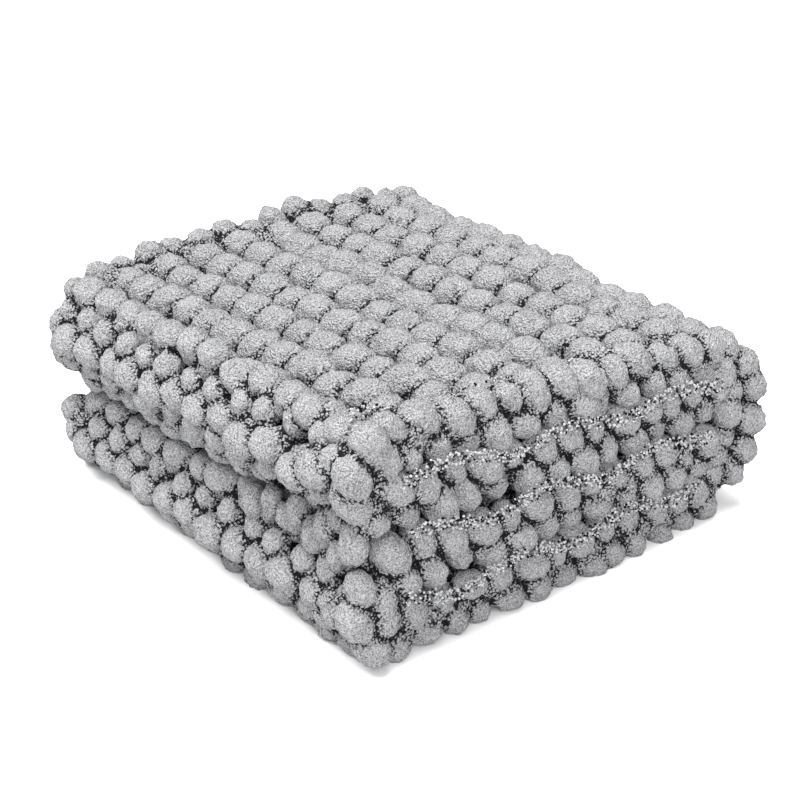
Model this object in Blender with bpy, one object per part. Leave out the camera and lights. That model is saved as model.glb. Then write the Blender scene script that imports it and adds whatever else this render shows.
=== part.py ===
"""Chunky chenille knit blanket, folded into a four-layer stack.

One long knitted piece: both ends fold to the middle on the left, then the pair folds over once
on the right, so the section is one back-and-forth line of four layers, purl side outward.
Frame: X runs across the knitted ridges (two small bights at -X, one large bight at +X), Y runs
along the ridges (side edges of the knitting at both Y ends), Z is up, the stack lies on z = 0.
"""
import math
import random

import bmesh
import bpy

for thing in list(bpy.data.objects):
    bpy.data.objects.remove(thing, do_unlink=True)

# Whole stack, metres
HALF_DEPTH = 0.1745      # half of the size along the ridges
LEFT_UPPER = -0.170      # outermost line of the upper small bight
LEFT_LOWER = -0.163      # the lower small bight sits back a little
RIGHT = 0.170            # outermost line of the large bight
FREE_END = 0.127         # the two hidden ends stop short of the large bight
TURN_RADIUS = 0.042      # core radius of the two corners of the large bight
RIDGE_REACH = 0.009      # round those corners the ridges are counted this far outside the core

# Layers from the table up: core height, thickness on the purl side and on the knit side
LAYERS = {
    "bottom": {"core": 0.0172, "purl": 0.0172, "knit": 0.0168},
    "inner_low": {"core": 0.0538, "purl": 0.0178, "knit": 0.0168},
    "inner_up": {"core": 0.0922, "purl": 0.0184, "knit": 0.0176},
    "top": {"core": 0.1304, "purl": 0.0196, "knit": 0.0176},
}

# The fold from one hidden end to the other: how many knitted ridges lie in each length of it
FOLD = (
    {"name": "inner_low", "ridges": 8.0},
    {"name": "bight_low", "ridges": 2.75},
    {"name": "bottom", "ridges": 7.5},
    {"name": "turn", "ridges": 6.0},
    {"name": "top", "ridges": 7.75},
    {"name": "bight_up", "ridges": 3.0},
    {"name": "inner_up", "ridges": 8.0},
)
RIDGES = 43

# Relief of a ridge and of the puffs along it
PUFFS = 13               # puffs along one ridge
PUFF_SPAN = 0.0263       # pitch of the puffs
RIDGE_STEPS = (0.0, 0.27, 0.73)
PUFF_STEPS = (0.0, 0.27, 0.73)
VALLEY = 0.52            # share of the thickness left in the valley between two ridges
VALLEY_DIP = 0.48        # and where that valley passes between two puffs
DIP = 0.78               # share left between two puffs of a ridge
STAGGER = 0.12           # neighbouring puffs sit this share of a ridge apart, across it
UNEVEN = 0.05            # puffs differ in height by up to this share
EDGE_ROUND = 0.011       # the side edges round off over this length
EDGE_LEFT = 0.60         # share of the thickness left at the very edge
EDGE_PUFF = 0.0035       # each ridge ends in a knob this far out
EDGE_NOTCH = 0.0045      # and the valley between two ridges this far in
END_LEFT = 0.62          # share of the thickness left at the two hidden ends
END_RISE = 1.2           # which the first ridges make up at this share a ridge

# Unevenness of the stack
CREASE_LEAN = 0.009      # the crease between the two bights climbs towards the front
CORNER_PLUMP = 0.055     # the front left corner stands taller by this share
CORNER_REACH = 0.11
RIGHT_SAG = 0.055        # the large bight lies lower than the two small ones by this share
FRONT_RISE = 0.035       # and the front left and back right stand taller
SKEW = 0.0052            # the back of the stack is shifted to the right
FRONT_WIDE = 0.020       # the front is wider, and the left side deeper, by these shares
LEFT_DEEP = 0.028
LEFT_SWELL = 0.007       # the small bights push out towards the front corner
UNDERCUT = 0.009         # the front edge of the bottom layer sits back
UNDERCUT_TOP = 0.06      # from this height down
WANDER = 0.0025          # the bights wander sideways by this much
WANDER_TURN = 23.0       # radians of that wave to a metre
WANDER_START = 1.0
STACK = 0.150            # nominal height of the stack

# Where along the fold, counted in ridges
FINE_FROM, FINE_TO = 6.73, 36.27       # ridges outside these are shut in the stack
FLAT_FROM, FLAT_TO = 11.73, 17.27      # ridges between these lie on the table
FLAT_LAP = 1.0                         # and the next one on each side is plain too
PRESSED_TO, PRESSED_FROM = 8.3, 34.7   # ridges up to the first and from the second press on a layer
SMALL_BIGHTS = ((8.0, 10.75), (32.0, 35.0))


def fold_point(q):
    """Core point, outward direction and the two thicknesses at ridge number q."""
    name, share = "inner_up", 1.0
    start = 0.0
    for length in FOLD:
        if q <= start + length["ridges"]:
            name, share = length["name"], (q - start) / length["ridges"]
            break
        start += length["ridges"]
    low, mid = LAYERS["bottom"], LAYERS["inner_low"]
    up, top = LAYERS["inner_up"], LAYERS["top"]
    low_radius = (mid["core"] - low["core"]) / 2
    up_radius = (top["core"] - up["core"]) / 2
    low_x = LEFT_LOWER + low_radius + (low["purl"] + mid["purl"]) / 2
    up_x = LEFT_UPPER + up_radius + (up["purl"] + top["purl"]) / 2
    turn_x = RIGHT - TURN_RADIUS - (low["purl"] + top["purl"]) / 2

    def thick(first, last):
        purl = first["purl"] + (last["purl"] - first["purl"]) * share
        knit = first["knit"] + (last["knit"] - first["knit"]) * share
        return purl, knit

    if name == "inner_low":
        return (FREE_END + (low_x - FREE_END) * share, mid["core"]), (0.0, 1.0), thick(mid, mid)
    if name == "inner_up":
        return (up_x + (FREE_END - up_x) * share, up["core"]), (0.0, -1.0), thick(up, up)
    if name == "bottom":
        return (low_x + (turn_x - low_x) * share, low["core"]), (0.0, -1.0), thick(low, low)
    if name == "top":
        return (turn_x + (up_x - turn_x) * share, top["core"]), (0.0, 1.0), thick(top, top)
    if name in ("bight_low", "bight_up"):
        angle = math.pi * share
        out = (-math.sin(angle), math.cos(angle))
        if name == "bight_low":
            spot = (low_x + low_radius * out[0], low["core"] + low_radius * (1 + out[1]))
            return spot, out, thick(mid, low)
        spot = (up_x + up_radius * out[0], up["core"] + up_radius * (1 + out[1]))
        return spot, out, thick(top, up)
    # large bight: a corner, a short upright run, a corner
    upright = top["core"] - low["core"] - 2 * TURN_RADIUS
    corner = (TURN_RADIUS + RIDGE_REACH) * math.pi / 2
    along = share * (2 * corner + upright)
    if along < corner:
        angle = along / corner * math.pi / 2
        out = (math.sin(angle), -math.cos(angle))
        spot = (turn_x + TURN_RADIUS * out[0], low["core"] + TURN_RADIUS * (1 + out[1]))
    elif along < corner + upright:
        out = (1.0, 0.0)
        spot = (turn_x + TURN_RADIUS, low["core"] + TURN_RADIUS + along - corner)
    else:
        angle = (along - corner - upright) / corner * math.pi / 2
        out = (math.cos(angle), math.sin(angle))
        spot = (turn_x + TURN_RADIUS * out[0], top["core"] + TURN_RADIUS * (out[1] - 1))
    return spot, out, thick(low, top)


def settle(x, y, z):
    """Unevenness of the whole stack: leaning crease, plump front corner, wandering bights."""
    across, along = x / RIGHT, y / HALF_DEPTH
    z -= CREASE_LEAN * along * math.sin(math.pi * min(z, STACK) / STACK)
    gap = math.hypot(x - LEFT_UPPER, y + HALF_DEPTH) / CORNER_REACH
    z *= 1 + CORNER_PLUMP * math.exp(-gap * gap)
    z *= 1 - RIGHT_SAG * across + FRONT_RISE * across * along
    x += WANDER * math.sin(y * WANDER_TURN + WANDER_START) * across
    x = x * (1 - FRONT_WIDE * along) + SKEW * along
    front = max(0.0, -along)
    x -= LEFT_SWELL * max(0.0, -across) * front
    y *= 1 - LEFT_DEEP * across
    y += UNDERCUT * max(0.0, 1 - z / UNDERCUT_TOP) * front ** 2
    return x, y, z


shuffle = random.Random(8901)
LIFT = [[shuffle.uniform(-1, 1) * UNEVEN for puff in range(PUFFS)] for ridge in range(RIDGES + 1)]

# Columns along Y: three to a puff, and one more row at each side edge
REACH = PUFFS * PUFF_SPAN / 2           # the first and the last puff end here
PRESSED_REACH = REACH - PUFF_SPAN / 4   # nearer than this to the middle, shut ridges press flat
columns = [(-HALF_DEPTH, "edge", 0)]
for puff in range(PUFFS):
    for step, kind in zip(PUFF_STEPS, ("dip", "high", "high")):
        columns.append((-REACH + (puff + step) * PUFF_SPAN, kind, puff))
columns.append((REACH, "dip", PUFFS - 1))
columns.append((HALF_DEPTH, "edge", PUFFS - 1))
LAST = len(columns) - 1
EVERY = list(range(LAST + 1))           # columns used where the puffs show
SPARSE = [0, 1, 3, 9, 18, 24, 33, LAST - 3, LAST - 1, LAST]     # on the table
BARE = [0, 1, 3, LAST - 3, LAST - 1, LAST]                      # shut in the stack
EDGE_COLUMNS = (0, 1, LAST - 1, LAST)

# Stations along the fold: three to a ridge
stations = []
for ridge in range(RIDGES):
    for step, kind in zip(RIDGE_STEPS, ("valley", "high", "high")):
        stations.append((ridge + step, kind, ridge))
stations.append((float(RIDGES), "valley", RIDGES))


def edge_share(y):
    """Thickness left near the side edges."""
    into = abs(y) - (HALF_DEPTH - EDGE_ROUND)
    if into <= 0:
        return 1.0
    return EDGE_LEFT + (1 - EDGE_LEFT) * math.sqrt(max(0.0, 1 - (into / EDGE_ROUND) ** 2))


def end_share(q):
    """Thickness left near the two hidden ends."""
    return min(1.0, END_LEFT + END_RISE * min(q, RIDGES - q))


def relief(station, column, fine):
    """Share of the purl side's thickness that stands at a point of the knitting."""
    q, ridge_kind, ridge = station
    y, puff_kind, puff = column
    shut = not FINE_FROM < q < FINE_TO
    if shut and abs(y) < PRESSED_REACH:
        return 1.0             # ridges shut in the stack press flat
    if ridge_kind == "valley":
        return VALLEY if puff_kind == "high" else VALLEY_DIP
    if not fine:
        return 1.0
    if puff_kind != "high":
        return DIP
    lift = LIFT[ridge][puff]
    pressed = q < PRESSED_TO or q > PRESSED_FROM
    return 1.0 + (-abs(lift) if pressed else lift)


def place(station, index, outside):
    q, ridge_kind, ridge = station
    y, puff_kind, puff = columns[index]
    flat = FLAT_FROM - FLAT_LAP < q < FLAT_TO + FLAT_LAP
    fine = FINE_FROM < q < FINE_TO and not flat
    shift = 0.0
    if fine and puff_kind == "high":
        shift = STAGGER * (1 if puff % 2 else -1)
    spot, out, (purl, knit) = fold_point(min(max(q + shift, 0.0), float(RIDGES)))
    share = edge_share(y) * end_share(q)
    off = purl * relief(station, columns[index], fine) * share if outside else -knit * share
    x = spot[0] + out[0] * off
    z = max(0.0, spot[1] + out[1] * off)       # what lies on the table is flat there
    if index in EDGE_COLUMNS:
        side = 1 if y > 0 else -1
        y += side * (EDGE_PUFF if ridge_kind == "high" else -EDGE_NOTCH)
    return settle(x, y, z)


def band_columns(q, outside):
    if not outside:
        return BARE
    if FLAT_FROM < q < FLAT_TO:
        return SPARSE
    if FINE_FROM < q < FINE_TO:
        return EVERY
    return BARE


def zip_rows(mesh, one, two):
    """Close the strip between two rows of (position along, vertex)."""
    i = j = 0
    while i < len(one) - 1 or j < len(two) - 1:
        if j == len(two) - 1 or (i < len(one) - 1 and one[i + 1][0] <= two[j + 1][0]):
            mesh.faces.new((one[i][1], one[i + 1][1], two[j][1]))
            i += 1
        else:
            mesh.faces.new((one[i][1], two[j + 1][1], two[j][1]))
            j += 1


def blanket_mesh():
    mesh = bmesh.new()
    sides = {}
    for outside in (True, False):
        rows = []
        for number, station in enumerate(stations):
            q = station[0]
            tight = any(start < q < end for start, end in SMALL_BIGHTS)
            if not outside and tight and number % len(RIDGE_STEPS):
                continue          # the knit side of a small bight is nearly closed
            row = []
            for index in band_columns(q, outside):
                row.append((columns[index][0], mesh.verts.new(place(station, index, outside))))
            rows.append((q, row))
        sides[outside] = rows
        for (_, row), (_, following) in zip(rows, rows[1:]):
            zip_rows(mesh, row, following)
    for end in (0, -1):
        outer = [(q, row[end][1]) for q, row in sides[True]]
        inner = [(q, row[end][1]) for q, row in sides[False]]
        zip_rows(mesh, outer, inner)
        zip_rows(mesh, sides[True][end][1], sides[False][end][1])
    bmesh.ops.recalc_face_normals(mesh, faces=mesh.faces)
    low = [min(v.co[axis] for v in mesh.verts) for axis in range(3)]
    high = [max(v.co[axis] for v in mesh.verts) for axis in range(3)]
    for v in mesh.verts:
        v.co.x -= (low[0] + high[0]) / 2
        v.co.y -= (low[1] + high[1]) / 2
        v.co.z -= low[2]
    return mesh


chenille = bpy.data.materials.new("grey chenille")
chenille.use_nodes = True
shader = chenille.node_tree.nodes["Principled BSDF"]
shader.inputs["Base Color"].default_value = (0.52, 0.52, 0.535, 1.0)
shader.inputs["Roughness"].default_value = 0.95
shader.inputs["Sheen Weight"].default_value = 0.4

collection = bpy.data.collections.new("blanket")
bpy.context.scene.collection.children.link(collection)
knit = blanket_mesh()
data = bpy.data.meshes.new("blanket")
knit.to_mesh(data)
knit.free()
data.materials.append(chenille)
blanket = bpy.data.objects.new("blanket", data)
collection.objects.link(blanket)
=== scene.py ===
import math
import random

import bpy
import numpy as np
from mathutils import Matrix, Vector


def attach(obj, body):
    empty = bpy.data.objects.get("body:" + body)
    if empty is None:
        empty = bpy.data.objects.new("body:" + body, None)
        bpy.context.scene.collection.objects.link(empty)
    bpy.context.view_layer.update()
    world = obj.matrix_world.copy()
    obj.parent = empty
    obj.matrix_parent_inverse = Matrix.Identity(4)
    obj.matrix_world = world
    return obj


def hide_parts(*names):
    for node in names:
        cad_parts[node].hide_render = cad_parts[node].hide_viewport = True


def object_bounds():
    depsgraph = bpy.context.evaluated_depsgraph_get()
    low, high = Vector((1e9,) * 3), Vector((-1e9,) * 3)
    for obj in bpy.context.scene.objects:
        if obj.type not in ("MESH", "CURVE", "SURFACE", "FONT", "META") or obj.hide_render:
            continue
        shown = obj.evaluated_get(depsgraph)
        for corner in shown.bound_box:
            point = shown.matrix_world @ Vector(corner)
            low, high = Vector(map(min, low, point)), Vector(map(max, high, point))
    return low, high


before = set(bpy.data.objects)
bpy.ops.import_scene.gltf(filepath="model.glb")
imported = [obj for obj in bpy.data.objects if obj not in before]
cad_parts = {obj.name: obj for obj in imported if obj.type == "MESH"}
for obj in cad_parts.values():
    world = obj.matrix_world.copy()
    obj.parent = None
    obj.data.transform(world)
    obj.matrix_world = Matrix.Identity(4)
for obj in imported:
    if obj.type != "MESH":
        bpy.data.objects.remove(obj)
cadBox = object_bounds()
print("frame loaded")

# The fold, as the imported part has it, in metres
stack = {
    "halfDepth": 0.1745,
    "leftUpper": -0.170,
    "leftLower": -0.163,
    "right": 0.170,
    "freeEnd": 0.127,
    "turnRadius": 0.042,
    "ridgeReach": 0.009,      # ridges are counted this far outside the core
    "height": 0.150,
    "ridges": 43,             # knitted ridges from one end of the cloth to the other
    "puffs": 13,              # puffs along each ridge
    "puffSpan": 0.0263,
    "pastEnd": 0.03,          # past its two ends the cloth runs straight on, this far to a ridge
}
layers = {
    "bottom": {"core": 0.0172, "purl": 0.0172, "knit": 0.0168},
    "innerLow": {"core": 0.0538, "purl": 0.0178, "knit": 0.0168},
    "innerUp": {"core": 0.0922, "purl": 0.0184, "knit": 0.0176},
    "top": {"core": 0.1304, "purl": 0.0196, "knit": 0.0176},
}
# How many ridges lie in each stretch of the fold
stretches = (
    ("innerLow", 8.0), ("lowBight", 2.75), ("bottom", 7.5), ("turn", 6.0),
    ("top", 7.75), ("upBight", 3.0), ("innerUp", 8.0),
)
lie = {
    "creaseLean": 0.009,      # the crease on the left climbs towards the front
    "cornerPlump": 0.055,     # share by which the front left corner stands taller
    "cornerReach": 0.11,
    "rightSag": 0.055,
    "frontRise": 0.035,
    "skew": 0.0052,
    "frontWide": 0.020,
    "leftDeep": 0.028,
    "leftSwell": 0.007,
    "undercut": 0.009,
    "undercutTop": 0.06,
    "wander": 0.0025,
    "wanderPitch": 23.0,      # in radians to a metre
    "wanderStart": 1.0,
    # only the knitting has these
    "rightLean": 0.0055,      # the large bight is drawn in above and bulges below by this much
    "backDrop": 0.050,        # share by which the back left corner lies lower
    "backReach": 0.10,
}


# Core point, outward direction and the two thicknesses at ridge number q
def foldPoint(q):
    q = min(max(q, 0.0), float(stack["ridges"]))
    start = 0.0
    name, share = stretches[-1][0], 1.0
    for stretch, ridges in stretches:
        if q <= start + ridges:
            name, share = stretch, (q - start) / ridges
            break
        start += ridges
    low, mid, up, top = layers["bottom"], layers["innerLow"], layers["innerUp"], layers["top"]
    lowRadius = (mid["core"] - low["core"]) / 2
    upRadius = (top["core"] - up["core"]) / 2
    lowX = stack["leftLower"] + lowRadius + (low["purl"] + mid["purl"]) / 2
    upX = stack["leftUpper"] + upRadius + (up["purl"] + top["purl"]) / 2
    turn = stack["turnRadius"]
    turnX = stack["right"] - turn - (low["purl"] + top["purl"]) / 2

    def thick(first, last):
        return tuple(first[side] + (last[side] - first[side]) * share for side in ("purl", "knit"))

    def along(first, last):
        return first + (last - first) * share

    if name == "innerLow":
        return (along(stack["freeEnd"], lowX), mid["core"]), (0.0, 1.0), thick(mid, mid)
    if name == "innerUp":
        return (along(upX, stack["freeEnd"]), up["core"]), (0.0, -1.0), thick(up, up)
    if name == "bottom":
        return (along(lowX, turnX), low["core"]), (0.0, -1.0), thick(low, low)
    if name == "top":
        return (along(turnX, upX), top["core"]), (0.0, 1.0), thick(top, top)
    if name == "lowBight":
        out = (-math.sin(math.pi * share), math.cos(math.pi * share))
        return (lowX + lowRadius * out[0], low["core"] + lowRadius * (1 + out[1])), out, thick(mid, low)
    if name == "upBight":
        out = (-math.sin(math.pi * share), math.cos(math.pi * share))
        return (upX + upRadius * out[0], up["core"] + upRadius * (1 + out[1])), out, thick(top, up)
    upright = top["core"] - low["core"] - 2 * turn
    corner = (turn + stack["ridgeReach"]) * math.pi / 2
    gone = share * (2 * corner + upright)
    if gone < corner:
        angle = gone / corner * math.pi / 2
        out = (math.sin(angle), -math.cos(angle))
        return (turnX + turn * out[0], low["core"] + turn * (1 + out[1])), out, thick(low, top)
    if gone < corner + upright:
        return (turnX + turn, low["core"] + turn + gone - corner), (1.0, 0.0), thick(low, top)
    angle = (gone - corner - upright) / corner * math.pi / 2
    out = (math.cos(angle), math.sin(angle))
    return (turnX + turn * out[0], top["core"] + turn * (out[1] - 1)), out, thick(low, top)


# The stack's unevenness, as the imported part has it
def settle(x, y, z):
    across, along = x / stack["right"], y / stack["halfDepth"]
    z -= lie["creaseLean"] * along * math.sin(math.pi * min(max(z, 0.0), stack["height"]) / stack["height"])
    gap = math.hypot(x - stack["leftUpper"], y + stack["halfDepth"]) / lie["cornerReach"]
    z *= 1 + lie["cornerPlump"] * math.exp(-gap * gap)
    z *= 1 - lie["rightSag"] * across + lie["frontRise"] * across * along
    x += lie["wander"] * math.sin(y * lie["wanderPitch"] + lie["wanderStart"]) * across
    x = x * (1 - lie["frontWide"] * along) + lie["skew"] * along
    front = max(0.0, -along)
    x -= lie["leftSwell"] * max(0.0, -across) * front
    y *= 1 - lie["leftDeep"] * across
    y += lie["undercut"] * max(0.0, 1 - z / lie["undercutTop"]) * front ** 2
    return x, y, z


# Point in the knitted cloth: ridge number, place along the ridge, share of the thickness outward
def clothPoint(q, y, n):
    spot, out, (purl, knit) = foldPoint(q)
    off = n * (purl if n > 0 else knit)
    spare = q - min(max(q, 0.0), float(stack["ridges"]))
    x = spot[0] + out[0] * off - out[1] * spare * stack["pastEnd"]
    z = spot[1] + out[1] * off
    lean = lie["rightLean"] * max(0.0, x / stack["right"]) ** 3 * (2 * z / stack["height"] - 1)
    gap = math.hypot(x - stack["leftUpper"], y - stack["halfDepth"]) / lie["backReach"]
    return settle(x - lean, y, z * (1 - lie["backDrop"] * math.exp(-gap * gap)))


def outwardAt(q, y):
    first, second = Vector(clothPoint(q, y, 0.0)), Vector(clothPoint(q, y, 1.0))
    return (second - first).normalized()


# Reverse stockinette: each course is one strand whose loop heads and sinkers stand out as puffs
yarn = {
    "radius": 0.0087,         # of the chenille yarn, at rest
    "swell": 0.37,            # thicker by this share where it puffs out, thinner where it goes through
    "lobe": 0.03,             # and again thicker halfway, where a leg shows in a groove
    "depth": 0.0092,          # how far the loops come out and go in
    "square": 0.42,           # how far the loops stay in their ridge before they cross, from 0 to 1
    "overlap": 0.03,          # heads and sinkers of one ridge pass each other by this share of a ridge
    "bow": 0.0018,            # loops are wider at the head than at the neck
    "slant": 0.08,            # each puff lies askew in its ridge
    "tight": ((31.6, 35.6), (7.2, 11.0)),      # ridges on the two small bights
    "tightLift": 0.18,        # where the loops lie further out, by this share of the thickness
    "tightDepth": 0.66,       # and come out and go in less
    "tightSwell": 0.60,       # of yarn that swells this much less
    "tightGirth": 0.92,       # and is slimmer
    "tumble": 1.3,            # puffs lie this much less even at the front left corner
    "tumbleReach": 0.13,
    "uneven": 0.0028,         # how far the yarn strays from its line
    "unevenScale": 34.0,      # and in how many patches to a metre
    "unevenSwing": 4.0,       # makes up for the noise, which seldom reaches its ends
    "sizeRange": 0.40,        # spread of the puffs' size
    "sizeScale": 42.0,        # patches to a metre
    "sizeSeed": 7.0,          # added to the seed
    "steps": 24,              # points to a stitch
    "around": 14,             # points round the yarn
    "seed": 8901.0,
}


def newGroup(name, inputs):
    tree = bpy.data.node_groups.new(name, "GeometryNodeTree")
    for label, kind, default in inputs:
        socket = tree.interface.new_socket(label, in_out="INPUT", socket_type=kind)
        if default is not None:
            socket.default_value = default
    tree.interface.new_socket("Geometry", in_out="OUTPUT", socket_type="NodeSocketGeometry")
    return tree


def addNode(tree, kind, **settings):
    node = tree.nodes.new(kind)
    for name, value in settings.items():
        setattr(node, name, value)
    return node


def mathNode(tree, operation, first, second=None, third=None):
    node = addNode(tree, "ShaderNodeMath", operation=operation)
    for socket, value in zip(node.inputs, (first, second, third)):
        if value is None:
            continue
        if isinstance(value, (int, float)):
            socket.default_value = value
        else:
            tree.links.new(value, socket)
    return node.outputs[0]


def vectorNode(tree, operation, first, second=None, scale=None):
    node = addNode(tree, "ShaderNodeVectorMath", operation=operation)
    for socket, value in zip(node.inputs, (first, second)):
        if value is None:
            continue
        if isinstance(value, (tuple, list)):
            socket.default_value = value
        else:
            tree.links.new(value, socket)
    if scale is not None:
        tree.links.new(scale, node.inputs["Scale"])
    return node.outputs[0]


def finishTree(tree, geometry, given):
    real = addNode(tree, "GeometryNodeRealizeInstances")
    tree.links.new(geometry, real.inputs[0])
    paint = addNode(tree, "GeometryNodeSetMaterial")
    tree.links.new(real.outputs[0], paint.inputs["Geometry"])
    tree.links.new(given["Material"], paint.inputs["Material"])
    tree.links.new(paint.outputs[0], addNode(tree, "NodeGroupOutput").inputs[0])


def namedAttribute(tree, name, kind):
    node = addNode(tree, "GeometryNodeInputNamedAttribute", data_type=kind)
    node.inputs["Name"].default_value = name
    return node.outputs["Attribute"]


# Sweeps chenille yarn along the courses: loops in and out, swells at each puff
def yarnTree():
    tree = newGroup("knitted yarn", (
        ("Geometry", "NodeSocketGeometry", None),
        ("Yarn radius", "NodeSocketFloat", yarn["radius"]),
        ("Loop depth", "NodeSocketFloat", yarn["depth"]),
        ("Uneven", "NodeSocketFloat", yarn["uneven"]),
        ("Size range", "NodeSocketFloat", yarn["sizeRange"]),
        ("Seed", "NodeSocketFloat", yarn["seed"]),
        ("Around", "NodeSocketInt", yarn["around"]),
        ("Material", "NodeSocketMaterial", None),
    ))
    link = tree.links.new
    given = addNode(tree, "NodeGroupInput").outputs
    turn = namedAttribute(tree, "turn", "FLOAT")
    outward = namedAttribute(tree, "outward", "FLOAT_VECTOR")
    wave = mathNode(tree, "COSINE", mathNode(tree, "MULTIPLY", turn, 2.0))
    loop = vectorNode(tree, "SCALE", outward, scale=mathNode(tree, "MULTIPLY", wave, given["Loop depth"]))
    noise = addNode(tree, "ShaderNodeTexNoise", noise_dimensions="4D")
    noise.inputs["Scale"].default_value = yarn["unevenScale"]
    noise.inputs["Detail"].default_value = 1.0
    link(given["Seed"], noise.inputs["W"])
    shift = vectorNode(tree, "SUBTRACT", noise.outputs["Color"], (0.5, 0.5, 0.5))
    stray = mathNode(tree, "MULTIPLY", given["Uneven"], namedAttribute(tree, "tumble", "FLOAT"))
    shift = vectorNode(tree, "SCALE", shift, scale=mathNode(tree, "MULTIPLY", stray, yarn["unevenSwing"]))
    move = addNode(tree, "GeometryNodeSetPosition")
    link(given["Geometry"], move.inputs["Geometry"])
    link(vectorNode(tree, "ADD", loop, shift), move.inputs["Offset"])
    strand = addNode(tree, "GeometryNodeMeshToCurve")
    link(move.outputs[0], strand.inputs["Mesh"])
    size = addNode(tree, "ShaderNodeTexNoise", noise_dimensions="4D")
    size.inputs["Scale"].default_value = yarn["sizeScale"]
    size.inputs["Detail"].default_value = 0.0
    link(mathNode(tree, "ADD", given["Seed"], yarn["sizeSeed"]), size.inputs["W"])
    fat = mathNode(tree, "SUBTRACT", size.outputs["Fac"], 0.5)
    fat = mathNode(tree, "MULTIPLY_ADD", fat, given["Size range"], 1.0)
    girth = mathNode(tree, "MULTIPLY", namedAttribute(tree, "girth", "FLOAT"), fat)
    width = mathNode(tree, "MULTIPLY", girth, given["Yarn radius"])
    ring = addNode(tree, "GeometryNodeCurvePrimitiveCircle")
    ring.inputs["Radius"].default_value = 1.0
    link(given["Around"], ring.inputs["Resolution"])
    sweep = addNode(tree, "GeometryNodeCurveToMesh")
    sweep.inputs["Fill Caps"].default_value = True
    link(strand.outputs[0], sweep.inputs["Curve"])
    link(ring.outputs[0], sweep.inputs["Profile Curve"])
    link(width, sweep.inputs["Scale"])
    finishTree(tree, sweep.outputs[0], given)
    return tree


# Along both edges the loops turn back in blunt ends, four rows of them to a layer
ends = {
    "long": 0.0146,           # half their length
    "thick": 0.0098,          # half their thickness
    "rounds": 3,              # of dividing the ball that they are made from
    "spread": 0.18,           # spread of their size
    "stand": 0.0065,          # how far their middle lies inside the last stitch
    "loose": 0.0035,          # how far some stand out more than others
    "unshaded": 0.011,            # the yarn and the cloth behind stop this far inside the last stitch
    "apart": 0.68,            # from one to the next, in ridges
    # each row starts so many ridges on, lies at this share of the thickness and so far inside
    "rows": ((0.0, 0.60, 0.0), (0.34, -0.58, 0.0), (0.17, 0.01, 0.006), (0.48, 0.16, 0.010)),
    "stray": 0.1,             # in ridges, and in shares of the thickness
    "steep": (0.40, 1.30),    # their long way lies this far from the layers' own, in radians
    "sink": 0.22,             # steep ones sit nearer the middle of the layer by this share
    "turnOut": 0.16,          # on the large bight all but the innermost row sit further out by this
    "tilt": 0.35,             # they lean out by up to this much, in radians
    "seed": 417,
}


# Sets a blunt end on each marked point
def endTree():
    tree = newGroup("edge ends", (
        ("Geometry", "NodeSocketGeometry", None),
        ("Half length", "NodeSocketFloat", ends["long"]),
        ("Half thickness", "NodeSocketFloat", ends["thick"]),
        ("Material", "NodeSocketMaterial", None),
    ))
    link = tree.links.new
    given = addNode(tree, "NodeGroupInput").outputs
    ball = addNode(tree, "GeometryNodeMeshIcoSphere")
    ball.inputs["Radius"].default_value = 1.0
    ball.inputs["Subdivisions"].default_value = ends["rounds"]
    shape = addNode(tree, "ShaderNodeCombineXYZ")
    link(given["Half length"], shape.inputs[0])
    link(given["Half thickness"], shape.inputs[1])
    link(given["Half thickness"], shape.inputs[2])
    size = vectorNode(tree, "MULTIPLY", shape.outputs[0], namedAttribute(tree, "size", "FLOAT_VECTOR"))
    spots = addNode(tree, "GeometryNodeMeshToPoints")
    link(given["Geometry"], spots.inputs["Mesh"])
    facing = addNode(tree, "FunctionNodeEulerToRotation")
    link(namedAttribute(tree, "turned", "FLOAT_VECTOR"), facing.inputs[0])
    put = addNode(tree, "GeometryNodeInstanceOnPoints")
    link(spots.outputs[0], put.inputs["Points"])
    link(ball.outputs["Mesh"], put.inputs["Instance"])
    link(facing.outputs[0], put.inputs["Rotation"])
    link(size, put.inputs["Scale"])
    finishTree(tree, put.outputs[0], given)
    return tree


# The skin over the yarn and the pile that stands on it
pile = {
    "tuft": 0.0046,           # size of the largest clumps of pile
    "tuftHeight": 0.0050,
    "detail": 2.0,
    "level": 0.45,            # of the noise at which the pile neither rises nor sinks
    "voxel": 0.00183,         # size of the skin's faces
    "coarseVoxel": 0.0030,    # and on the underside
    "smoothing": 1,
    "creaseReach": 5,         # rounds of smoothing that tell a narrow crease
    "hollowReach": 24,        # and that tell a hollow from a puff
}


# Roughens the yarn's surface into clumps of pile
def pileTree():
    tree = newGroup("chenille pile", (
        ("Geometry", "NodeSocketGeometry", None),
        ("Tuft size", "NodeSocketFloat", pile["tuft"]),
        ("Tuft height", "NodeSocketFloat", pile["tuftHeight"]),
        ("Material", "NodeSocketMaterial", None),
    ))
    link = tree.links.new
    given = addNode(tree, "NodeGroupInput").outputs
    cells = addNode(tree, "ShaderNodeTexNoise")
    cells.inputs["Detail"].default_value = pile["detail"]
    link(mathNode(tree, "DIVIDE", 1.0, given["Tuft size"]), cells.inputs["Scale"])
    clump = mathNode(tree, "SUBTRACT", cells.outputs["Fac"], pile["level"])
    height = mathNode(tree, "MULTIPLY", clump, given["Tuft height"])
    normal = addNode(tree, "GeometryNodeInputNormal")
    lift = vectorNode(tree, "SCALE", normal.outputs[0], scale=height)
    move = addNode(tree, "GeometryNodeSetPosition")
    link(given["Geometry"], move.inputs["Geometry"])
    link(lift, move.inputs["Offset"])
    finishTree(tree, move.outputs[0], given)
    return tree


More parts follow.
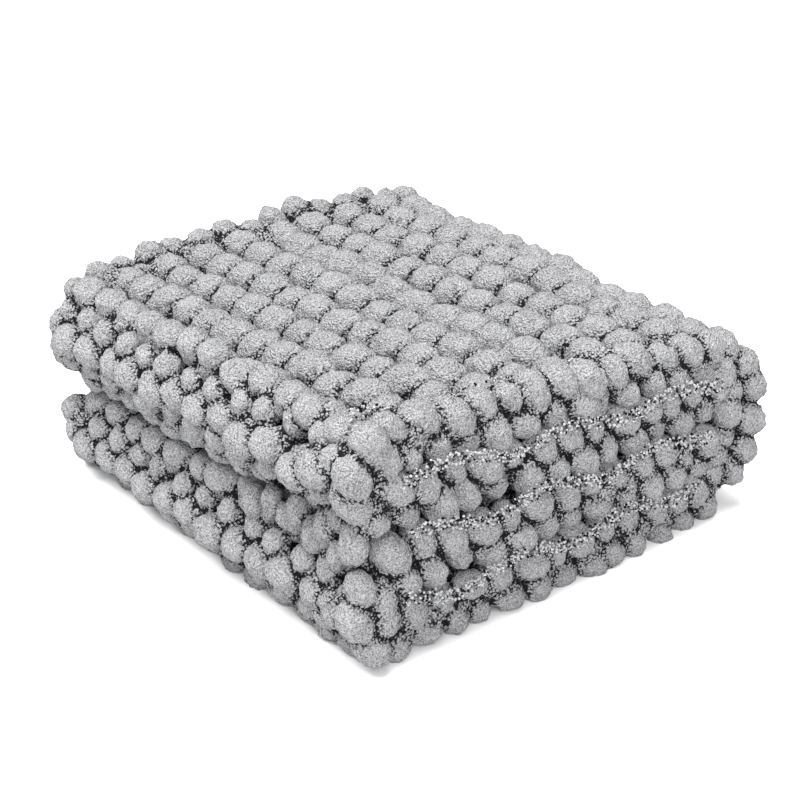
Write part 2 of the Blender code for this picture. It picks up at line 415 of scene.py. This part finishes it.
# Runs a Geometry Nodes tree on an object once and keeps the plain mesh
def applyTree(obj, tree, **values):
    modifier = obj.modifiers.new(tree.name, "NODES")
    modifier.node_group = tree
    sockets = {item.name: item.identifier for item in tree.interface.items_tree if item.in_out == "INPUT"}
    for name, value in values.items():
        modifier[sockets[name]] = value
    return applyAll(obj)


def applyAll(obj):
    shown = obj.evaluated_get(bpy.context.evaluated_depsgraph_get())
    mesh = bpy.data.meshes.new_from_object(shown)
    obj.modifiers.clear()
    obj.data = mesh
    return obj


def addObject(name, mesh):
    obj = bpy.data.objects.new(name, mesh)
    bpy.context.scene.collection.objects.link(obj)
    return obj


# Centre lines of the courses whose numbers lie from first to last, between two places along the ridges
def courseRows(first, last, left, right):
    stitches = stack["puffs"] / 2
    width = stack["puffs"] * stack["puffSpan"]
    total = int(round(stitches * yarn["steps"]))
    rows = []
    for course in range(first, last + 1):
        row = []
        for step in range(total + 1):
            t = 2 * math.pi * step / yarn["steps"]
            y = -width / 2 + width * step / total + yarn["bow"] * math.sin(2 * t)
            if max(left, ends["unshaded"] - width / 2) <= y <= min(right, width / 2 - ends["unshaded"]):
                across = math.cos(t)
                across += (math.sin(math.pi / 2 * across) - across) * yarn["square"]
                q = course - (0.5 + yarn["overlap"]) * across + yarn["slant"] * math.sin(2 * t)
                row.append((q, y, math.acos(across)))
        rows.append(row)
    return rows


# How far a ridge lies on one of the small bights, from 0 to 1
def tightShare(q):
    return max(min(1.0, q - start, end - q) for start, end in yarn["tight"])


# The courses' lines, with what the yarn on them needs to know at each point
def courseMesh(name, rows):
    points, edges, turns, outs, girths, tumbles = [], [], [], [], [], []
    for row in rows:
        base = len(points)
        for q, y, t in row:
            tight = max(0.0, tightShare(q))
            points.append(clothPoint(q, y, yarn["tightLift"] * tight))
            outs.extend(outwardAt(q, y) * (1 + (yarn["tightDepth"] - 1) * tight))
            turns.append(t)
            swell = yarn["swell"] * (1 + (yarn["tightSwell"] - 1) * tight) * math.cos(2 * t)
            swell += yarn["lobe"] * math.cos(4 * t)
            girths.append((1 + swell) * (1 + (yarn["tightGirth"] - 1) * tight))
            gap = math.dist(points[-1][:2], (stack["leftUpper"], -stack["halfDepth"])) / yarn["tumbleReach"]
            tumbles.append(1 + yarn["tumble"] * math.exp(-gap * gap))
        edges += [(base + i, base + i + 1) for i in range(len(row) - 1)]
    mesh = bpy.data.meshes.new(name)
    mesh.from_pydata(points, edges, [])
    for label, values in (("turn", turns), ("girth", girths), ("tumble", tumbles)):
        mesh.attributes.new(label, "FLOAT", "POINT").data.foreach_set("value", values)
    mesh.attributes.new("outward", "FLOAT_VECTOR", "POINT").data.foreach_set("vector", outs)
    return mesh


# Puffs that close the crease on the left towards the front corner
crease = {
    "from": -0.161,
    "to": -0.045,
    "apart": 0.0150,
    "x": -0.157,
    "z": 0.0735,
    "inward": 0.008,          # the last one sits this much further in than the first
    "drop": 0.010,            # every second one sits this much lower
    "scatter": 0.0035,
    "size": 0.80,             # in sizes of a blunt end
    "roll": 0.5,              # they are turned by up to this much, in radians
}


def creasePuffs(chance):
    points, sizes, turns = [], [], []
    count = int((crease["to"] - crease["from"]) / crease["apart"])
    for i in range(count + 1):
        y = crease["from"] + crease["apart"] * i
        spot = (crease["x"] + crease["inward"] * i / count, y, crease["z"] - crease["drop"] * (i % 2))
        points.append(settle(*(value + crease["scatter"] * chance.uniform(-1, 1) for value in spot)))
        sizes += [crease["size"] * (1 + ends["spread"] * chance.uniform(-1, 1))] * 3
        turns += [crease["roll"] * chance.uniform(-1, 1), math.pi / 2, 0.0]
    return points, sizes, turns


# Where the cloth turns the puffs stand apart as balls, and the legs of the loops are lumps in the grooves
bends = {
    "balls": {"knit-upper-bight": (32.5, 33.5, 34.5), "knit-lower-bight": (7.5, 8.5, 9.5, 10.5)},
    "lumps": {"knit-upper-bight": (33, 34, 35), "knit-lower-bight": (8, 9, 10),
              "knit-large-bight": (18, 19, 20, 21, 22, 23)},
    "ballSize": (0.88, 1.06, 1.06),     # in lengths and thicknesses of a blunt end
    "lumpSize": (0.80, 0.98, 0.98),
    "ballLevel": 0.66,        # where they lie, in shares of the thickness
    "lumpLevel": 0.42,
    "levelSpread": 0.08,
    "sizeSpread": 0.6,        # share of the spread that the blunt ends have
    "roll": 0.3,              # balls are turned by up to this much, in radians
    "stray": 0.0022,
}


def bendPuffs(name, chance):
    points, sizes, turns = [], [], []
    for kind, shift in (("ball", 0.0), ("lump", 0.5)):
        for ridge in bends[kind + "s"].get(name, ()):
            for i in range(1, stack["puffs"]):
                y = (i + shift - stack["puffs"] / 2) * stack["puffSpan"]
                gap = math.hypot(clothPoint(ridge, y, 0)[0] - stack["leftUpper"], y + stack["halfDepth"])
                stray = bends["stray"] * (1 + yarn["tumble"] * math.exp(-(gap / yarn["tumbleReach"]) ** 2))
                level = bends[kind + "Level"] + bends["levelSpread"] * chance.uniform(-1, 1)
                place = clothPoint(ridge, y, level)
                points.append(tuple(value + stray * chance.uniform(-1, 1) for value in place))
                scale = 1 + ends["spread"] * chance.uniform(-1, 1) * bends["sizeSpread"]
                sizes += [value * scale for value in bends[kind + "Size"]]
                if kind == "lump":
                    turns += [0.0, chance.uniform(*ends["steep"]), 0.0]
                else:
                    turns += [0.0, 0.0, math.pi / 2 + bends["roll"] * chance.uniform(-1, 1)]
    return points, sizes, turns


# Points on the edges where a blunt end sits
def endMesh(name, first, last, sides):
    chance = random.Random(ends["seed"] + first)
    half = stack["puffs"] * stack["puffSpan"] / 2 - ends["stand"]
    points, sizes, turns = [], [], []
    for side in sides:
        for shift, share, inside in ends["rows"]:
            start = math.ceil((first - 0.5 - shift) / ends["apart"])
            stop = math.ceil((last + 0.5 - shift) / ends["apart"])
            for count in range(start, stop):
                q = count * ends["apart"] + shift + chance.uniform(-ends["stray"], ends["stray"])
                y = side * (half - inside + ends["loose"] * chance.uniform(-1, 1))
                steep = chance.uniform(*ends["steep"])
                level = share * (1 - ends["sink"] * math.sin(steep))
                if name == "knit-large-bight" and share > 0:
                    level = share + ends["turnOut"]
                points.append(clothPoint(q, y, level + chance.uniform(-ends["stray"], ends["stray"])))
                sizes += [1 + ends["spread"] * chance.uniform(-1, 1)] * 3
                turns += [0.0, steep, ends["tilt"] * chance.uniform(-1, 1)]
    extra = [bendPuffs(name, chance)]
    if name == "knit-upper-bight":
        extra.append(creasePuffs(chance))
    for group in extra:
        for values, more in zip((points, sizes, turns), group):
            values += more
    mesh = bpy.data.meshes.new(name)
    mesh.from_pydata(points, [], [])
    mesh.attributes.new("size", "FLOAT_VECTOR", "POINT").data.foreach_set("vector", sizes)
    mesh.attributes.new("turned", "FLOAT_VECTOR", "POINT").data.foreach_set("vector", turns)
    return mesh


# The knit side behind the puffs, so that no light comes through between them
core = {
    "spare": 0.3,             # ridges that it runs on past the last course
    "steps": 4,               # points to a ridge
    "rim": 0.004,             # width of its rims, where it is thinner
    # levels of its purl side and its knit side at the rims and between them, in shares of the thickness
    "levels": ((-0.3, -0.05), (-0.7, -0.92)),
    "edge": 0.138,            # out from here the layers inside show, at the sides of the stack
    "lap": 0.003,             # what shows and what doesn't pass each other by this much
    "beyond": 0.01,           # pieces may reach this far past the stack's sides
    "hidden": ((-0.125, -0.136, 0.030), (0.118, 0.136, 0.118)),    # nothing between these two corners shows
    "kept": 0.06,             # share of the faces kept in there
}


def coreMesh(name, first, last, left, right):
    half = stack["puffs"] * stack["puffSpan"] / 2 - ends["unshaded"]
    left, right = max(left, -half), min(right, half)
    inner = [left + (right - left) * i / 4 for i in (1, 2, 3)]
    columns = [left, left + core["rim"]] + inner + [right - core["rim"], right]
    steps = (last - first + 1) * core["steps"]
    points, faces, grids = [], [], []
    for rim, middle in core["levels"]:
        grid = []
        for i in range(steps + 1):
            q = first - core["spare"] + (last - first + 2 * core["spare"]) * i / steps
            grid.append([])
            for y in columns:
                grid[-1].append(len(points))
                points.append(clothPoint(q, y, rim if abs(y) == half else middle))
        grids.append(grid)
    top, low = grids
    for i in range(steps):
        for j in range(len(columns) - 1):
            faces.append((top[i][j], top[i + 1][j], top[i + 1][j + 1], top[i][j + 1]))
            faces.append((low[i][j], low[i][j + 1], low[i + 1][j + 1], low[i + 1][j]))
        faces.append((top[i][0], low[i][0], low[i + 1][0], top[i + 1][0]))
        faces.append((top[i][-1], top[i + 1][-1], low[i + 1][-1], low[i][-1]))
    for j in range(len(columns) - 1):
        faces.append((top[0][j], top[0][j + 1], low[0][j + 1], low[0][j]))
        faces.append((top[steps][j], low[steps][j], low[steps][j + 1], top[steps][j + 1]))
    mesh = bpy.data.meshes.new(name)
    mesh.from_pydata(points, [], faces)
    return mesh


# One mesh out of several, with their depths
def joinMeshes(name, meshes):
    points, faces, base = [], [], 0
    depths = {"crease": [], "hollow": []}
    for mesh in meshes:
        points += [tuple(v.co) for v in mesh.vertices]
        faces += [tuple(base + i for i in polygon.vertices) for polygon in mesh.polygons]
        base += len(mesh.vertices)
        for label, values in depths.items():
            given = np.zeros(len(mesh.vertices))
            if label in mesh.attributes:
                mesh.attributes[label].data.foreach_get("value", given)
            values.append(given)
    joined = bpy.data.meshes.new(name)
    joined.from_pydata(points, [], faces)
    for label, values in depths.items():
        joined.attributes.new(label, "FLOAT", "POINT").data.foreach_set("value", np.concatenate(values))
    return joined


# Evens a mesh out by moving each point towards its neighbours' mean
def relax(points, edges, rounds, share=0.5):
    count = len(points)
    near = np.maximum(np.bincount(edges.ravel(), minlength=count), 1)
    for step in range(rounds):
        mean = np.empty_like(points)
        for axis in range(3):
            total = np.bincount(edges[:, 0], points[edges[:, 1], axis], count)
            total += np.bincount(edges[:, 1], points[edges[:, 0], axis], count)
            mean[:, axis] = total / near
        points = points + (mean - points) * share
    return points


def readPoints(mesh):
    points = np.empty(len(mesh.vertices) * 3)
    mesh.vertices.foreach_get("co", points)
    return points.reshape(-1, 3)


def writePoints(mesh, points):
    mesh.vertices.foreach_set("co", points.ravel())
    mesh.update()


def readEdges(mesh):
    edges = np.empty(len(mesh.edges) * 2, dtype=np.int32)
    mesh.edges.foreach_get("vertices", edges)
    return edges.reshape(-1, 2)


# Stores how deep each point lies in a narrow crease and in a wide hollow, in millimetres, from which the
# material paints shade
def markHollows(mesh):
    points, edges = readPoints(mesh), readEdges(mesh)
    normals = np.empty(len(points) * 3)
    mesh.vertices.foreach_get("normal", normals)
    normals = normals.reshape(-1, 3)
    near = relax(points, edges, pile["creaseReach"])
    far = relax(near, edges, pile["hollowReach"] - pile["creaseReach"])
    for label, spots in (("crease", near), ("hollow", far)):
        depth = ((spots - points) * normals).sum(1) * 1000
        mesh.attributes.new(label, "FLOAT", "POINT").data.foreach_set("value", depth)


# Fewer faces where the layers lie against each other
def thinHidden(obj):
    low, high = core["hidden"]
    points = readPoints(obj.data)
    inside = np.nonzero(((points > low) & (points < high)).all(1))[0]
    if len(inside) == 0:
        return
    obj.vertex_groups.new(name="hidden").add(inside.tolist(), 1.0, "REPLACE")
    thin = obj.modifiers.new("thin", "DECIMATE")
    thin.vertex_group = "hidden"
    thin.ratio = 1 - (1 - core["kept"]) * len(inside) / len(points)
    applyAll(obj)
    obj.vertex_groups.clear()


# One skin over the yarn, its blunt ends and the cloth behind, from left to right along the ridges
def knitBlock(name, first, last, left, right, voxel):
    strands = addObject(name, courseMesh(name, courseRows(first, last, left, right)))
    applyTree(strands, trees["yarn"], Material=chenilleWithPaintedLight)
    meshes = [strands.data, coreMesh(name, first, last, left, right)]
    sides = [side for side in (-1, 1) if left <= side * stack["halfDepth"] <= right]
    if sides:
        edge = addObject(name, endMesh(name, first, last, sides))
        applyTree(edge, trees["ends"], Material=chenilleWithPaintedLight)
        meshes.append(edge.data)
        bpy.data.objects.remove(edge)
    obj = addObject(name, joinMeshes(name, meshes))
    bpy.data.objects.remove(strands)
    remesh = obj.modifiers.new("one skin", "REMESH")
    remesh.mode = "VOXEL"
    remesh.voxel_size = voxel
    mesh = applyAll(obj).data
    writePoints(mesh, relax(readPoints(mesh), readEdges(mesh), pile["smoothing"]))
    markHollows(mesh)
    mesh = applyTree(obj, trees["pile"], Material=chenilleWithPaintedLight).data
    points = readPoints(mesh)
    points[:, 2] = np.maximum(points[:, 2], 0.0)
    writePoints(mesh, points)
    thinHidden(obj)
    mesh = obj.data
    bpy.data.objects.remove(obj)
    return mesh


# One piece of the knitting. Where it is hidden, only its two edges are knitted as finely as what shows
def knitPiece(name, first, last, kind):
    wide, edge, lap = stack["halfDepth"] + core["beyond"], core["edge"], core["lap"]
    if kind == "shown":
        meshes = [knitBlock(name, first, last, -wide, wide, pile["voxel"])]
    else:
        meshes = [knitBlock(name, first, last, -wide, -edge, pile["voxel"]),
                  knitBlock(name, first, last, edge, wide, pile["voxel"])]
        if kind == "under":
            meshes.append(knitBlock(name, first, last, -edge - lap, edge + lap, pile["coarseVoxel"]))
        else:
            meshes.append(coreMesh(name, first, last, -edge - lap, edge + lap))
    if name in strandsOn:
        meshes.append(looseMesh(name))
    mesh = joinMeshes(name, meshes)
    mesh.validate()
    mesh.materials.append(chenilleWithPaintedLight)
    mesh.polygons.foreach_set("use_smooth", np.ones(len(mesh.polygons), dtype=bool))
    print(name, sum(len(p.vertices) - 2 for p in mesh.polygons), "triangles")
    return addObject(name, mesh)


# Strands of loose pile in the grooves between the layers, along both sides of the stack
loose = {
    "grain": 0.00078,         # radius of one tuft
    "sizes": (0.75, 1.35),    # smallest and largest, in such radii
    "spread": 0.0042,         # how far they lie from the middle of the strand
    "flat": 0.35,             # and sideways by this share of it
    "apart": 0.0015,
    "many": 4,                # tufts at each place
    "wander": 0.0045,         # how far the strand strays up and down
    "wanderPitch": 70,        # in radians to a metre
    "wanderStart": 300,       # in radians to a metre of its height
    "steps": 60,              # points to a strand
    "dark": 0.26,             # share of the tufts that lie in shade
    "darkDepth": 1.0,         # these stand for a depth in millimetres: the material paints shade on them
    "highlightDepth": -4.0,      # and a painted highlight on these
    "corners": 12,            # of one tuft's mesh
    "seed": 77,
}
# From where to where along the side, how high, and how far out of the last stitch
strandsOn = {
    "knit-inner-up": ((-0.130, 0.125, 0.1113, 0.0062), (-0.122, 0.120, 0.0727, 0.0062)),
    "knit-inner-low": ((-0.125, 0.115, 0.0355, 0.0062),),
    "knit-top-right": ((-0.150, 0.060, 0.1440, -0.0180),),
}


def looseTree():
    tree = newGroup("loose pile", (
        ("Geometry", "NodeSocketGeometry", None),
        ("Tuft radius", "NodeSocketFloat", loose["grain"]),
        ("Spread", "NodeSocketFloat", loose["spread"]),
        ("Apart", "NodeSocketFloat", loose["apart"]),
        ("Many", "NodeSocketInt", loose["many"]),
        ("Seed", "NodeSocketInt", loose["seed"]),
        ("Material", "NodeSocketMaterial", None),
    ))
    link = tree.links.new
    given = addNode(tree, "NodeGroupInput").outputs
    line = addNode(tree, "GeometryNodeMeshToCurve")
    link(given["Geometry"], line.inputs["Mesh"])
    spots = addNode(tree, "GeometryNodeCurveToPoints", mode="LENGTH")
    link(line.outputs[0], spots.inputs["Curve"])
    link(given["Apart"], spots.inputs["Length"])
    more = addNode(tree, "GeometryNodeDuplicateElements", domain="POINT")
    link(spots.outputs["Points"], more.inputs["Geometry"])
    link(given["Many"], more.inputs["Amount"])
    scatter = addNode(tree, "FunctionNodeRandomValue", data_type="FLOAT_VECTOR")
    scatter.inputs[0].default_value = (-1, -loose["flat"], -1)
    scatter.inputs[1].default_value = (1, loose["flat"], 1)
    link(given["Seed"], scatter.inputs["Seed"])
    move = addNode(tree, "GeometryNodeSetPosition")
    link(more.outputs["Geometry"], move.inputs["Geometry"])
    link(vectorNode(tree, "SCALE", scatter.outputs[0], scale=given["Spread"]), move.inputs["Offset"])
    tuft = addNode(tree, "GeometryNodeMeshIcoSphere")
    link(given["Tuft radius"], tuft.inputs["Radius"])
    tuft.inputs["Subdivisions"].default_value = 1
    size = addNode(tree, "FunctionNodeRandomValue", data_type="FLOAT")
    size.inputs[2].default_value = loose["sizes"][0]
    size.inputs[3].default_value = loose["sizes"][1]
    link(given["Seed"], size.inputs["Seed"])
    put = addNode(tree, "GeometryNodeInstanceOnPoints")
    link(move.outputs[0], put.inputs["Points"])
    link(tuft.outputs["Mesh"], put.inputs["Instance"])
    link(size.outputs[1], put.inputs["Scale"])
    finishTree(tree, put.outputs[0], given)
    return tree


def looseMesh(name):
    points, edges = [], []
    half = stack["puffs"] * stack["puffSpan"] / 2
    for left, right, height, out in strandsOn[name]:
        for side in (-1, 1) if out > 0 else (-1,):
            base = len(points)
            steps = loose["steps"]
            for i in range(steps + 1):
                x = left + (right - left) * i / steps
                wave = x * loose["wanderPitch"] + height * loose["wanderStart"]
                z = height + loose["wander"] * math.sin(wave)
                points.append(settle(x, side * (half + out), z))
            edges += [(base + i, base + i + 1) for i in range(steps)]
    mesh = bpy.data.meshes.new(name)
    mesh.from_pydata(points, edges, [])
    obj = addObject(name, mesh)
    made = applyTree(obj, trees["loose"], Material=chenilleWithPaintedLight).data
    bpy.data.objects.remove(obj)
    tufts = len(made.vertices) // loose["corners"]
    # some tufts get painted shade and the rest a painted highlight, through the depths that the material
    # reads
    shaded = np.random.default_rng(loose["seed"]).random(tufts) < loose["dark"]
    for label in ("crease", "hollow"):
        depth = np.repeat(np.where(shaded, loose["darkDepth"], loose["highlightDepth"]), loose["corners"])
        made.attributes.new(label, "FLOAT", "POINT").data.foreach_set("value", depth)
    return made


# Chenille pile colour with painted shade: dark pits painted between its grains, painted shade in the
# creases and hollows of the knitting and on the puffs' flanks, and a painted highlight on some loose tufts
chenille = {
    "colour": (0.42, 0.42, 0.434, 1.0),
    # painted shade: the near-black colour that creases, hollows and the pits between grains are darkened
    # towards
    "shadeColour": (0.006, 0.006, 0.007, 1.0),
    "grain": 0.0017,          # size of a grain of pile
    "grainHeight": 0.0050,
    "fibre": 0.0010,          # and of the fibre ends on it
    # painted highlight: the lighter colour of the loose tufts that stand in light
    "highlightTone": (0.56, 0.56, 0.57, 1.0),
    "tipHighlight": (-3.0, -3.9),     # depths from which the loose tufts get this painted highlight
    "patch": 0.016,           # size of the patches where the pits get more painted shade
    "detail": 2.0,            # of the fibres' and the patches' noise
    "creases": (0.08, 0.38),  # painted shade: from the first to the second of these, narrow creases darken, in millimetres
    "hollows": (0.62, 1.50),  # and wide hollows
    "flanks": (-0.85, 0.45),  # and from here to there, towards the hollows, the painted shade of the pits between grains grows: painted shade on the puffs' flanks
    "flankShade": (0.05, 1.1),      # how far that painted shade grows there
    "shadePatches": (0.40, 0.68),     # noise of the patches where the pits get more painted shade, from none to all
    "patchShade": 0.18,         # how much more painted shade the pits get in them
    "grainShade": (0.42, 0.68),     # painted shade in the pits between grains: distance from a grain's middle, from none to all
    "specks": (0.16, 0.42),   # and in the painted shade of the hollows, which is lighter at the grains' middles
    "speckShade": (0.35, 1.05),
    "fuzz": (0.60, 0.32),     # noise of the fibre ends, from bright to shaded
    "fuzzShade": 0.60,
    "deepest": 0.98,          # shade never goes past this
    "grainShare": -0.5,       # of the bumps, against the fibres' own
    "roughness": 0.95,
    "shine": 0.05,
    "sheen": 0.10,
    "sheenRoughness": 0.5,
}


def mapRange(tree, value, low, high, first=0.0, last=1.0, smooth=False):
    node = addNode(tree, "ShaderNodeMapRange")
    if smooth:
        node.interpolation_type = "SMOOTHSTEP"
    for name, number in (("From Min", low), ("From Max", high), ("To Min", first), ("To Max", last)):
        node.inputs[name].default_value = number
    tree.links.new(value, node.inputs["Value"])
    return node.outputs[0]


def chenilleMaterial():
    material = bpy.data.materials.new("grey chenille pile")
    material.use_nodes = True
    tree = material.node_tree
    link = tree.links.new
    shader = tree.nodes["Principled BSDF"]
    place = addNode(tree, "ShaderNodeTexCoord").outputs["Object"]
    grain = addNode(tree, "ShaderNodeTexVoronoi", feature="F1")
    grain.inputs["Scale"].default_value = 1 / chenille["grain"]
    link(place, grain.inputs["Vector"])
    fuzz = addNode(tree, "ShaderNodeTexNoise")
    fuzz.inputs["Scale"].default_value = 1 / chenille["fibre"]
    fuzz.inputs["Detail"].default_value = chenille["detail"]
    link(place, fuzz.inputs["Vector"])
    patch = addNode(tree, "ShaderNodeTexNoise")
    patch.inputs["Scale"].default_value = 1 / chenille["patch"]
    patch.inputs["Detail"].default_value = chenille["detail"]
    link(place, patch.inputs["Vector"])
    hollow = addNode(tree, "ShaderNodeAttribute", attribute_name="hollow").outputs["Fac"]
    narrow = addNode(tree, "ShaderNodeAttribute", attribute_name="crease").outputs["Fac"]
    # painted shade in narrow creases and wide hollows
    creviceShade = mathNode(tree, "MAXIMUM", mapRange(tree, narrow, *chenille["creases"]),
                    mapRange(tree, hollow, *chenille["hollows"]))
    # patches where the pits get more painted shade
    shadePatches = mapRange(tree, patch.outputs["Fac"], *chenille["shadePatches"])
    # painted shade in the pits between grains
    grainShade = mapRange(tree, grain.outputs["Distance"], *chenille["grainShade"], smooth=True)
    # painted shade that grows on the puffs' flanks towards the hollows
    pitShadeAmount = mapRange(tree, hollow, *chenille["flanks"], *chenille["flankShade"])
    pitShadeAmount = mathNode(tree, "MULTIPLY_ADD", shadePatches, chenille["patchShade"], pitShadeAmount)
    shade = mathNode(tree, "MULTIPLY", grainShade, pitShadeAmount)
    # the painted shade in the creases and hollows is lighter at the grains' middles
    specks = mapRange(tree, grain.outputs["Distance"], *chenille["specks"], *chenille["speckShade"])
    shade = mathNode(tree, "MULTIPLY_ADD", creviceShade, specks, shade)
    # painted shade between the fibre ends
    fibreShade = mapRange(tree, fuzz.outputs["Fac"], *chenille["fuzz"], 0.0, chenille["fuzzShade"])
    shade = mathNode(tree, "ADD", fibreShade, shade)
    shade = mathNode(tree, "MINIMUM", shade, chenille["deepest"])
    # the grey colour darkened towards the shade colour by all the painted shade
    mix = addNode(tree, "ShaderNodeMix", data_type="RGBA")
    mix.inputs[6].default_value = chenille["colour"]
    mix.inputs[7].default_value = chenille["shadeColour"]
    link(shade, mix.inputs[0])
    # painted highlight on the loose tufts
    tipHighlight = addNode(tree, "ShaderNodeMix", data_type="RGBA")
    link(mapRange(tree, hollow, *chenille["tipHighlight"]), tipHighlight.inputs[0])
    link(mix.outputs[2], tipHighlight.inputs[6])
    tipHighlight.inputs[7].default_value = chenille["highlightTone"]
    link(tipHighlight.outputs[2], shader.inputs["Base Color"])
    height = mathNode(tree, "MULTIPLY_ADD", grain.outputs["Distance"], chenille["grainShare"],
                      fuzz.outputs["Fac"])
    bump = addNode(tree, "ShaderNodeBump")
    bump.inputs["Strength"].default_value = 1.0
    bump.inputs["Distance"].default_value = chenille["grainHeight"]
    link(height, bump.inputs["Height"])
    link(bump.outputs[0], shader.inputs["Normal"])
    shader.inputs["Roughness"].default_value = chenille["roughness"]
    # sheen and specular fade where shade is painted, so the painted shade stays dark
    unshaded = mathNode(tree, "SUBTRACT", 1.0, shade)
    link(mathNode(tree, "MULTIPLY", unshaded, chenille["shine"]), shader.inputs["Specular IOR Level"])
    link(mathNode(tree, "MULTIPLY", unshaded, chenille["sheen"]), shader.inputs["Sheen Weight"])
    shader.inputs["Sheen Roughness"].default_value = chenille["sheenRoughness"]
    return material


trees = {"yarn": yarnTree(), "ends": endTree(), "pile": pileTree(), "loose": looseTree()}
# one material for all the knitting: its grey colour, with painted shade and a painted highlight
chenilleWithPaintedLight = chenilleMaterial()

# The knitting in pieces, by course: what shows all over, what shows at its edges only, and the underside
knitPieces = (
    ("knit-top-left", 28, 32, "shown"),
    ("knit-top-right", 24, 27, "shown"),
    ("knit-large-bight", 18, 23, "shown"),
    ("knit-upper-bight", 33, 36, "shown"),
    ("knit-lower-bight", 7, 11, "shown"),
    ("knit-underside", 12, 17, "under"),
    ("knit-inner-low", 0, 6, "inside"),
    ("knit-inner-up", 37, 43, "inside"),
)
pieces = [knitPiece(*piece) for piece in knitPieces]

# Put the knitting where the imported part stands
low = np.min([readPoints(o.data).min(0) for o in pieces], axis=0)
high = np.max([readPoints(o.data).max(0) for o in pieces], axis=0)
centre = [(cadBox[0][axis] + cadBox[1][axis] - low[axis] - high[axis]) / 2 for axis in range(2)]
for obj in pieces:
    writePoints(obj.data, readPoints(obj.data) + (*centre, 0.0))
    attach(obj, "root")
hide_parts("blanket")
print("blanket knitted")

# Floor, camera and light
studio = {
    "camera": (-0.8298, -1.0199, 0.7091),
    "back": (-0.56942, -0.69619, 0.43713),     # from what the camera looks at to the camera
    "lens": 99.27,
    "sensor": 36,
    "floor": (0.80, 0.80, 0.80, 1),
    "floorReach": 6,
    "floorRoughness": 0.9,
    "world": 0.24,
    "sky": (8.8, 0.9, (-0.28, 0.05, 1.0)),     # strength, spread in radians, direction it comes from
    "front": (3.8, 0.8, (-0.50, -0.92, 0.60)),
}


def aimed(obj, place, back):
    obj.location = place
    obj.rotation_mode = "QUATERNION"
    obj.rotation_quaternion = Vector(back).to_track_quat("Z", "Y")
    return obj


def addSun(name, strength, spread, origin):
    light = bpy.data.lights.new(name, "SUN")
    light.energy = strength
    light.angle = spread
    sun = bpy.data.objects.new(name, light)
    bpy.context.scene.collection.objects.link(sun)
    return aimed(sun, origin, origin)


reach = studio["floorReach"]
floorMesh = bpy.data.meshes.new("floor")
floorMesh.from_pydata([(-reach, -reach, 0), (reach, -reach, 0), (reach, reach, 0), (-reach, reach, 0)],
                      [], [(0, 1, 2, 3)])
floorPaint = bpy.data.materials.new("floor paint")
floorPaint.use_nodes = True
floorShader = floorPaint.node_tree.nodes["Principled BSDF"]
floorShader.inputs["Base Color"].default_value = studio["floor"]
floorShader.inputs["Roughness"].default_value = studio["floorRoughness"]
floorMesh.materials.append(floorPaint)
floor = addObject("floor", floorMesh)

lens = bpy.data.cameras.new("camera")
lens.sensor_width = studio["sensor"]
lens.lens = studio["lens"]
camera = bpy.data.objects.new("camera", lens)
bpy.context.scene.collection.objects.link(camera)
aimed(camera, studio["camera"], studio["back"])
bpy.context.scene.camera = camera

world = bpy.data.worlds.new("studio")
world.use_nodes = True
world.node_tree.nodes["Background"].inputs["Color"].default_value = (1, 1, 1, 1)
world.node_tree.nodes["Background"].inputs["Strength"].default_value = studio["world"]
bpy.context.scene.world = world
addSun("sky", *studio["sky"])
addSun("front", *studio["front"])
bpy.context.scene.view_settings.view_transform = "Standard"
print("studio set")
